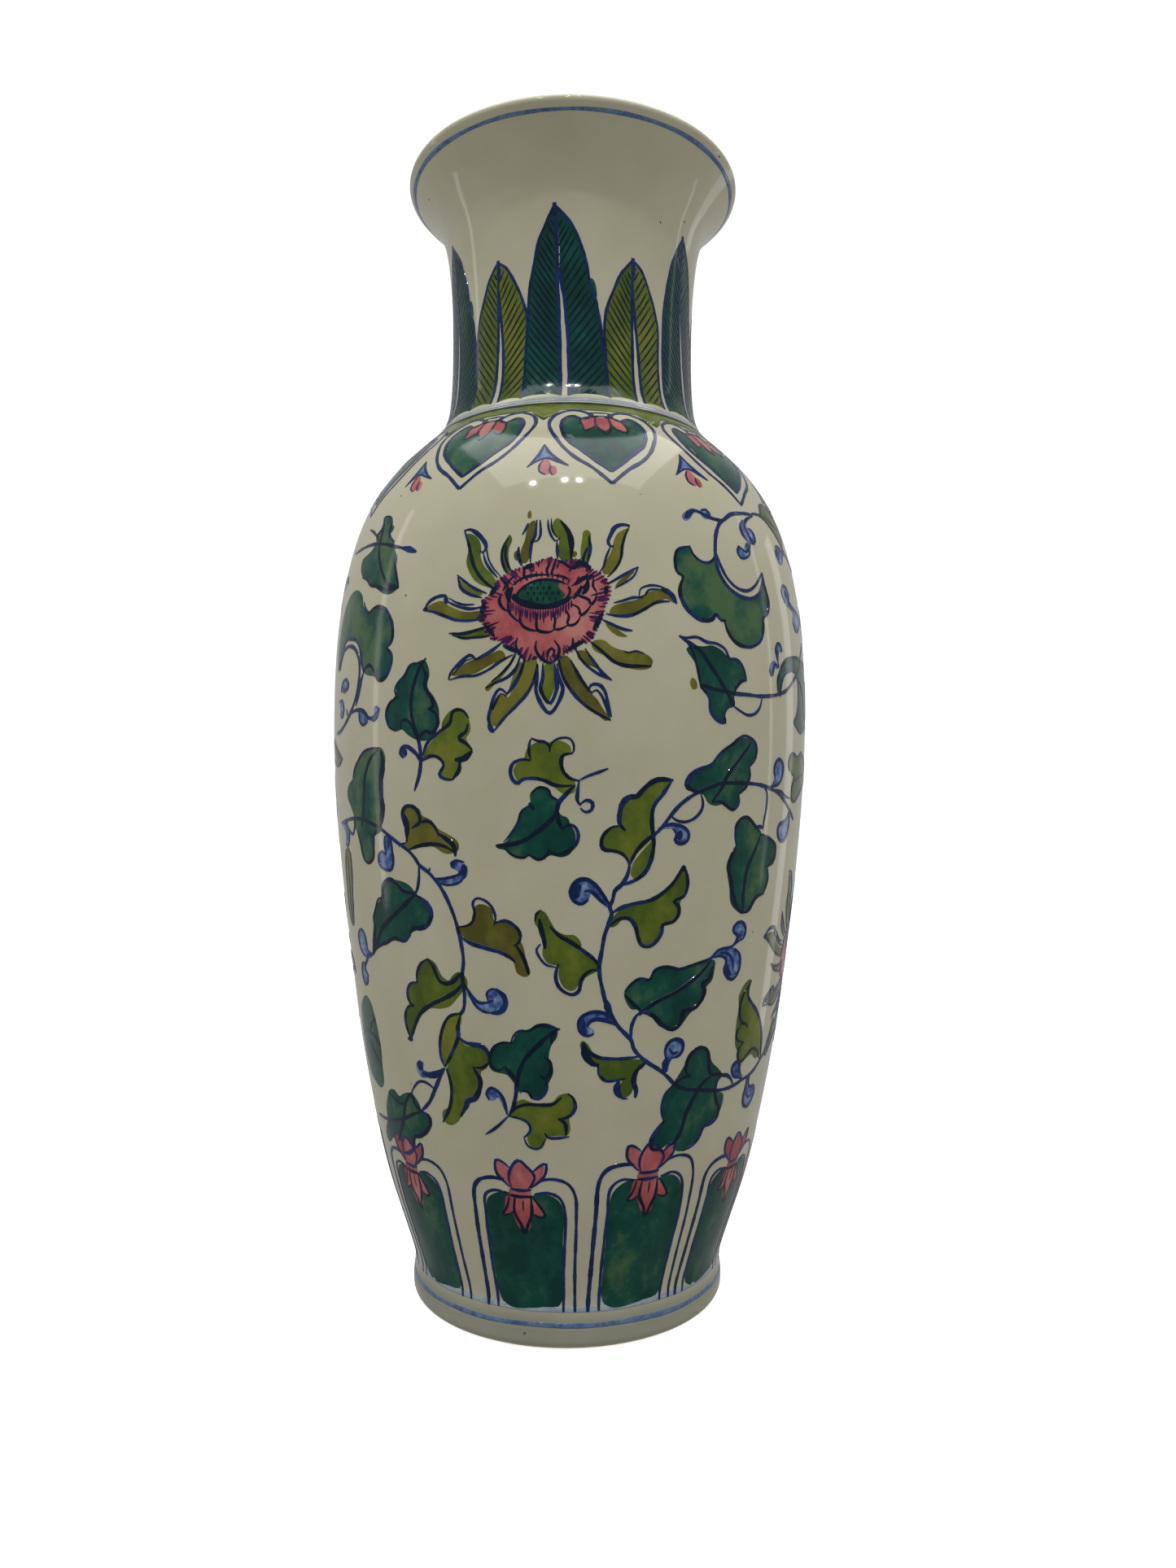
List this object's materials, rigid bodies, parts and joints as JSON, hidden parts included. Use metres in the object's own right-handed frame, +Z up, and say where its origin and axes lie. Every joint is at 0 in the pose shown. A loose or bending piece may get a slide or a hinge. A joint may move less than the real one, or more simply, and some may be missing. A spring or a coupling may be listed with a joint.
{
  "type": "porcelain vase",
  "caption": "Tall baluster porcelain vase with a flared mouth and a ring foot, painted in blue line and green, olive and pink enamel with lotus scrolls, leaves, lappets and panels.",
  "frame": {"origin": "middle of the foot, on the surface that the vase stands on", "axes": "+Z up along the vase's axis, -Y to the front, where the upper blossom is, +X to the viewer's right"},
  "size_m": [0.1532, 0.1544, 0.36],
  "materials": {
    "glazed_porcelain": "clear glossy glaze over off-white porcelain",
    "foot_porcelain": "cream glazed foot with an unglazed, finely sanded bearing edge",
    "slip": "matt porcelain slip, sealed under the glaze",
    "cobalt_line": "cobalt brush line under a clear glossy glaze",
    "pale_blue_line": "thin cobalt wash under a clear glossy glaze",
    "leaf_green_enamel": "glossy dark green enamel over the glaze, with visible brush pooling",
    "moss_green_enamel": "glossy yellow-green enamel over the glaze, thin and streaky",
    "rose_pink_enamel": "satin rose enamel over the glaze, thin at its edges"
  },
  "bodies": {
    "root": {"foot_ring": "foot_porcelain", "base_floor": "glazed_porcelain", "lower_body": "glazed_porcelain", "upper_body": "glazed_porcelain", "neck": "glazed_porcelain", "mouth": "glazed_porcelain", "slip_seam_foot": "slip", "slip_seam_waist": "slip", "slip_seam_shoulder": "slip", "slip_seam_mouth": "slip", "foot_line_lower": "cobalt_line", "foot_line_upper": "cobalt_line", "collar_line": "cobalt_line", "mouth_line": "cobalt_line", "collar_band": "moss_green_enamel", "neck_leaf_tall_1": "leaf_green_enamel", "neck_leaf_tall_2": "leaf_green_enamel", "neck_leaf_tall_3": "leaf_green_enamel", "neck_leaf_tall_4": "leaf_green_enamel", "neck_leaf_tall_5": "leaf_green_enamel", "neck_leaf_tall_6": "leaf_green_enamel", "neck_leaf_short_1": "moss_green_enamel", "neck_leaf_short_2": "moss_green_enamel", "neck_leaf_short_3": "moss_green_enamel", "neck_leaf_short_4": "moss_green_enamel", "neck_leaf_short_5": "moss_green_enamel", "neck_leaf_short_6": "moss_green_enamel", "shoulder_lappet_1": "leaf_green_enamel", "shoulder_lappet_2": "leaf_green_enamel", "shoulder_lappet_3": "leaf_green_enamel", "shoulder_lappet_4": "leaf_green_enamel", "shoulder_lappet_5": "leaf_green_enamel", "shoulder_lappet_6": "leaf_green_enamel", "shoulder_lappet_7": "leaf_green_enamel", "shoulder_lappet_8": "leaf_green_enamel", "shoulder_lappet_9": "leaf_green_enamel", "shoulder_lappet_10": "leaf_green_enamel", "foot_panel_1": "leaf_green_enamel", "foot_panel_2": "leaf_green_enamel", "foot_panel_3": "leaf_green_enamel", "foot_panel_4": "leaf_green_enamel", "foot_panel_5": "leaf_green_enamel", "foot_panel_6": "leaf_green_enamel", "foot_panel_7": "leaf_green_enamel", "foot_panel_8": "leaf_green_enamel", "foot_panel_9": "leaf_green_enamel", "foot_panel_10": "leaf_green_enamel", "upper_blossom_1": "rose_pink_enamel", "upper_blossom_2": "rose_pink_enamel", "lower_blossom_1": "rose_pink_enamel", "lower_blossom_2": "rose_pink_enamel"}
  },
  "joints": []
}
